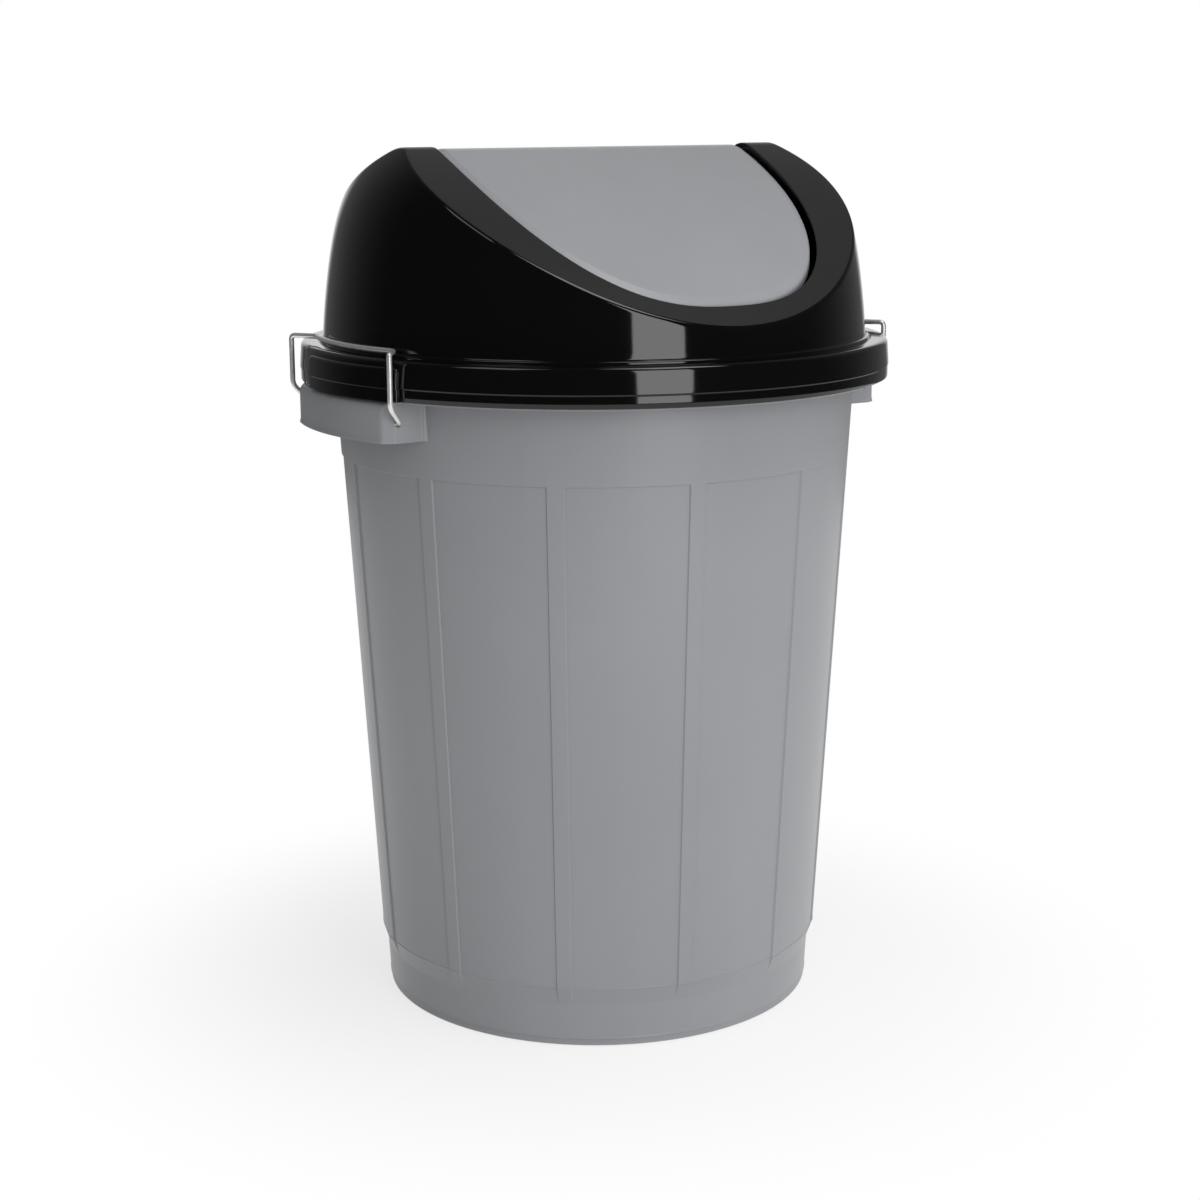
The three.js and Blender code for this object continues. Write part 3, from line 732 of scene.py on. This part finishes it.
def hood_place(row, bearing):
    radius, z = hood_sections[bearing][row]
    turn = math.radians(bearing)
    return radius * math.cos(turn), radius * math.sin(turn), z


# The collar's satin starts inside the crease, two rows before its end, and runs a little way
# over the mouth's edge.
SATIN_BEFORE = 2
SATIN_BEYOND = 5
collar_start = len(fixed_rows) + DOME_ROWS + CREASE_ROWS - SATIN_BEFORE
collar_rows = (collar_start, collar_start + COLLAR_ROWS + SATIN_BEYOND)
hood_shell = spun("hood_shell", hood_row_count, hood_bearings, hood_place, second=collar_rows)

# Two pads stand proud of the skirt, where the clamps' arms pass. Their rows are (share of how
# far the pad stands out, height above the skirt's edge), and the rows without a share lie
# inside the skirt.
PAD_OUT = 223.7
PAD_FACE = PAD_OUT - 0.5
PAD_FOOT = 219.6
PAD_BACK = 218.4
PAD_LOW = SKIRT_LOW + 0.05
PAD_TURN = 7.0
PAD_HALF = 15.0
PAD_END = 1.4
PAD_CORNER = 4.0
CORNER_FROM = 12
CORNER_RUN = 11.4
pad_reach = [0, 0.1, 0.25, 0.5, 0.8, 1.3, 2.0, 3.2, 4.5, 6.5, 9]
pad_rows = [
    (None, 0), (0.0, 0.0), (1.0, 0.0), (1.0, 8.2), (1.0, 8.7), (1.17, 9.1), (1.17, 9.6),
    (1.08, 15), (1.0, 19.4), (0.94, 20.9), (0.8, 22.2), (0.55, 23.1), (0.2, 23.4), (None, 23.4),
]


def rounded_off(share):
    """Height of a quarter round, from 0 at its foot to 1 at its top."""
    return math.sqrt(max(0.0, 1 - (1 - min(1.0, share)) ** 2))


def pad_place(row, bearing):
    share, rise = pad_rows[row]
    from_end = (PAD_HALF - abs(bearing)) * math.radians(1) * PAD_OUT
    proud = rounded_off(from_end / PAD_END)
    drop = PAD_CORNER * (1 - rounded_off(from_end / PAD_CORNER))
    radius = PAD_BACK if share is None else PAD_FOOT + (PAD_FACE - PAD_FOOT) * share * proud
    if rise > CORNER_FROM:
        rise -= drop * (rise - CORNER_FROM) / CORNER_RUN
    turn = math.radians(bearing + PAD_TURN)
    return radius * math.cos(turn), radius * math.sin(turn), PAD_LOW + rise


pad_bearings = []
for reach in pad_reach:
    pad_bearings.append(-PAD_HALF + math.degrees(reach / PAD_OUT))
pad_bearings += [step * 1.25 for step in range(-9, 10)]
pad_bearings += [-bearing for bearing in pad_bearings[len(pad_reach) - 1::-1]]
pad_right = spun("pad_right", len(pad_rows), pad_bearings, pad_place, full=False)
picked(pad_right)
bpy.ops.object.duplicate()
pad_left = bpy.context.object
bpy.ops.transform.rotate(value=math.pi, orient_axis="Z", center_override=(0, 0, 0))
bpy.ops.object.transform_apply(location=True, rotation=True, scale=True)

BRACKET_SIZE = (4.5, 22, 26)
BRACKET_OUT = 137.75
BRACKET_HEIGHT = 627.4
AXLE_HEIGHT = 623.4
AXLE_HOLE = 4.3
AXLE_DRILL = 12
BRACKET_EDGE = 1.0


def bevelled(made, width, segments):
    """The active piece, with its edges rounded over."""
    edge = made.modifiers.new("edge", "BEVEL")
    edge.width = width * MM
    edge.segments = segments
    bpy.ops.object.modifier_apply(modifier="edge")


def plate(name, size, place):
    """A flat plate of a size at a place, in millimetres."""
    deselected()
    bpy.ops.mesh.primitive_cube_add(size=1, location=[at * MM for at in place])
    made = bpy.context.object
    made.name = name
    made.scale = [length * MM for length in size]
    bpy.ops.object.transform_apply(location=True, rotation=True, scale=True)
    return made


def bracket(name, side):
    """A plate under the roof beside the mouth, with the hole for the flap's axle."""
    made = plate(name, BRACKET_SIZE, (side * BRACKET_OUT, 0, BRACKET_HEIGHT))
    bevelled(made, BRACKET_EDGE, 3)
    hole = (side * BRACKET_OUT, 0, AXLE_HEIGHT)
    drilled(made, AXLE_HOLE, AXLE_DRILL, hole, (0, math.radians(90), 0))
    return made


def black_plastic(name, shade, gloss, grain_depth, spread):
    """Black plastic: a mirror-like or satin skin, with faint swells left by cooling."""
    finish = Finish(bpy.data.materials.new(name))
    shader = finish.tree.nodes["Principled BSDF"]
    place = finish.node("ShaderNodeTexCoord", out=3)
    swell = finish.noise(place, 9.0, 1.0)
    haze = finish.noise(place, 26.0, 3.0)
    grain = finish.noise(place, 1700.0, 1.0)
    low = tuple(c * 0.85 for c in shade) + (1,)
    high = tuple(c * 1.15 for c in shade) + (1,)
    colour = finish.blend(haze, low, high)
    rough = gloss + haze * spread + grain * spread * 0.5
    fine = finish.bump(grain_depth, 0.0001, grain)
    wave = finish.bump(0.25, 0.0012, swell, fine)
    finish.feed(shader, {"Base Color": colour, "Roughness": rough, "Normal": wave})
    return finish.owner


gloss_black = black_plastic("hood gloss black", (0.0022, 0.0022, 0.0025), 0.035, 0.02, 0.03)
satin_black = black_plastic("collar satin black", (0.014, 0.014, 0.0145), 0.34, 0.2, 0.06)
of_collar = [face.material_index for face in hood_shell.data.polygons]
coated(hood_shell, gloss_black, satin_black)
hood_shell.data.polygons.foreach_set("material_index", of_collar)
brackets = [bracket("bracket_right", 1), bracket("bracket_left", -1)]
for part in (pad_right, pad_left, *brackets):
    coated(part, gloss_black)
hood = joined(hood_shell, pad_right, pad_left, *brackets)
hood.name = "hood_moulding"
smooth(hood, degrees=35)
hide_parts("hood")
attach(hood, "bin")


# --- Flap -------------------------------------------------------------------------------
# A moulding of the bucket's grey plastic that lies in the mouth, just below the collar: an
# arched skin with a bevelled edge, a rim turned down all round, and two cheeks below it with
# the stub axles it swings on.
FLAP_WIDE = 129.5
FLAP_LONG = 181.0
FLAP_DROP = 1.3
FLAP_WALL = 2.5
FLAP_SHIFT = -1.5
FLAP_BEVEL = 6.5
FLAP_MIDDLE_STEPS = 22
FLAP_UNDER_STEPS = 16
CHEEK_SIZE = (3, 13, 23.5)
CHEEK_OUT = 120.5
CHEEK_HEIGHT = 628.5
CHEEK_EDGE = 0.7
AXLE_BOSS = (6.5, 119, 133.3)
STUB_AXLE = (4, 119, 141.8)
AXLE_EDGE = 0.5

# Rows from the middle of the top: (share of the radius, set in from the edge, below the roof).
flap_rows = []
for step in range(FLAP_MIDDLE_STEPS + 1):
    flap_rows.append((step / FLAP_MIDDLE_STEPS, FLAP_BEVEL, 0.0))
flap_rows += [
    (1, 5.6, 0.0), (1, 5.0, 0.03), (1, 4.5, 0.14), (1, 4.1, 0.32), (1, 3.4, 0.62), (1, 2.4, 0.98),
    (1, 1.5, 1.3), (1, 0.9, 1.58), (1, 0.45, 1.95), (1, 0.12, 2.5), (1, 0, 3.2), (1, 0, 5.4),
    (1, 0, 7.4), (1, 0.25, 7.9), (1, 0.8, 8.1), (1, 1.7, 8.1), (1, 2.25, 7.9), (1, 2.5, 7.4),
    (1, 2.5, 5.6), (1, 2.8, 4.6), (1, 3.6, 3.7), (1, 4.8, 3.1),
    (1, FLAP_BEVEL, FLAP_WALL),
]
for step in range(1, FLAP_UNDER_STEPS + 1):
    flap_rows.append((1 - step / FLAP_UNDER_STEPS, FLAP_BEVEL, FLAP_WALL))


def flap_place(row, bearing):
    share, inset, drop = flap_rows[row]
    turn = math.radians(bearing)
    radius = share * outline(bearing, FLAP_WIDE - inset, FLAP_LONG - inset)
    y = radius * math.sin(turn)
    return radius * math.cos(turn) + FLAP_SHIFT, y, roof(y) - FLAP_DROP - drop


flap_skin = spun("flap_skin", len(flap_rows), hood_bearings, flap_place, ends_on_axis=True)


def cheek(name, side):
    """A plate below the flap's skin, with its boss and stub axle."""
    made = plate(name, CHEEK_SIZE, (side * CHEEK_OUT + FLAP_SHIFT, 0, CHEEK_HEIGHT))
    bevelled(made, CHEEK_EDGE, 2)
    parts = [made]
    for radius, low, high in (AXLE_BOSS, STUB_AXLE):
        middle = (low + high) / 2
        bpy.ops.mesh.primitive_cylinder_add(
            vertices=DRILL_SIDES, radius=radius * MM, depth=(high - low) * MM,
            location=((side * middle + FLAP_SHIFT) * MM, 0, AXLE_HEIGHT * MM),
            rotation=(0, math.radians(90), 0),
        )
        rod = bpy.context.object
        bpy.ops.object.transform_apply(location=True, rotation=True, scale=True)
        bevelled(rod, AXLE_EDGE, 2)
        parts.append(rod)
    return joined(*parts)


flap = joined(flap_skin, cheek("cheek_right", 1), cheek("cheek_left", -1))
flap.name = "flap_moulding"
smooth(flap, degrees=35)
coated(flap, grey_plastic("flap grey", (0.272, 0.277, 0.29), 0.27))
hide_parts("flap")
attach(flap, "flap")


# --- Wire clamps ------------------------------------------------------------------------
# Each is one length of bright spring-steel wire: its bent ends turn in the handle's holes, the
# arms pass up outside the skirt, and the curved bar lies over the flange at the dome's foot.
WIRE_THICK = 3.8
ARM_RADIUS = 226.5
ARM_HALF = 82.0
CRANK_TOP = 471.0
BAR_RADIUS = 209.0
BAR_HEIGHT = 507.5
BAR_HALF = 64.0
BAR_STEPS = 8
BEND_STEPS = 8
PIN_INSIDE = 4
PIN_OUTSIDE = 3.4
PIN_BEND = 3.0
CRANK_BEND = 4.0
ARM_BEND = 3.4
CORNER_BEND = 3.2
BAR_BEND = 7.0

steel = Finish(bpy.data.materials.new("bright drawn wire"))
steel_shader = steel.tree.nodes["Principled BSDF"]
steel_place = steel.node("ShaderNodeTexCoord", out=3)
drawn = steel.noise(steel.stretched(steel_place, (900, 900, 60)), 1.0, 2.0)
spots = steel.noise(steel_place, 140.0, 3.0)
steel_colour = steel.blend(spots, (0.70, 0.69, 0.68, 1), (0.86, 0.85, 0.84, 1))
steel_rough = 0.24 + drawn * 0.08 + spots * 0.1
steel_bump = steel.bump(0.08, 0.0001, drawn)
steel.feed(
    steel_shader, {"Base Color": steel_colour, "Roughness": steel_rough, "Normal": steel_bump}
)
steel_shader.inputs["Metallic"].default_value = 0.8
bright_wire = steel.owner


def rounded(corners):
    """Points along straight runs, with each corner turned on a curve of its own size."""
    points = [corners[0][0]]
    for before, (corner, bend), after in zip(corners, corners[1:], corners[2:]):
        enter = corner + (before[0] - corner).normalized() * bend
        leave = corner + (after[0] - corner).normalized() * bend
        for step in range(BEND_STEPS + 1):
            share = step / BEND_STEPS
            drawn_in = enter * (1 - share) ** 2 + corner * 2 * share * (1 - share)
            points.append(drawn_in + leave * share ** 2)
    return points + [corners[-1][0]]


def clamp(name, node, side):
    """The wire from one bent end, over the bar, to the other. Corners are (place, bend)."""
    arm_x = math.sqrt(ARM_RADIUS ** 2 - ARM_HALF ** 2)
    half = [
        (Vector((PIN_RADIUS, HANDLE_HALF - HANDLE_WALL - PIN_INSIDE, PIN_HEIGHT)), 0),
        (Vector((PIN_RADIUS, HANDLE_HALF + PIN_OUTSIDE, PIN_HEIGHT)), PIN_BEND),
        (Vector((arm_x, ARM_HALF, CRANK_TOP)), CRANK_BEND),
        (Vector((arm_x, ARM_HALF, BAR_HEIGHT)), ARM_BEND),
    ]
    reach = math.asin(BAR_HALF / BAR_RADIUS)
    bar = []
    for step in range(BAR_STEPS + 1):
        turn = reach * (1 - 2 * step / BAR_STEPS)
        at = Vector((BAR_RADIUS * math.cos(turn), BAR_RADIUS * math.sin(turn), BAR_HEIGHT))
        bar.append((at, CORNER_BEND if step in (0, BAR_STEPS) else BAR_BEND))
    mirrored = [(Vector((at.x, -at.y, at.z)), bend) for at, bend in reversed(half)]
    points = rounded(half + bar + mirrored)
    curve = bpy.data.curves.new(name, "CURVE")
    curve.dimensions = "3D"
    line = curve.splines.new("POLY")
    line.points.add(len(points) - 1)
    for point, at in zip(line.points, points):
        point.co = (side * at.x * MM, side * at.y * MM, at.z * MM, 1)
    curve.bevel_depth = WIRE_THICK / 2 * MM
    curve.bevel_resolution = 6
    curve.use_fill_caps = True
    made = bpy.data.objects.new(name, curve)
    bpy.context.scene.collection.objects.link(made)
    picked(made)
    bpy.ops.object.convert(target="MESH")
    made = bpy.context.object
    smooth(made, degrees=50)
    coated(made, bright_wire)
    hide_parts(node)
    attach(made, node)


clamp("clamp_left_wire", "clamp_left", -1)
clamp("clamp_right_wire", "clamp_right", 1)


# --- Close ------------------------------------------------------------------------------
# The view settings stay plain.
bpy.context.scene.view_settings.view_transform = "Standard"
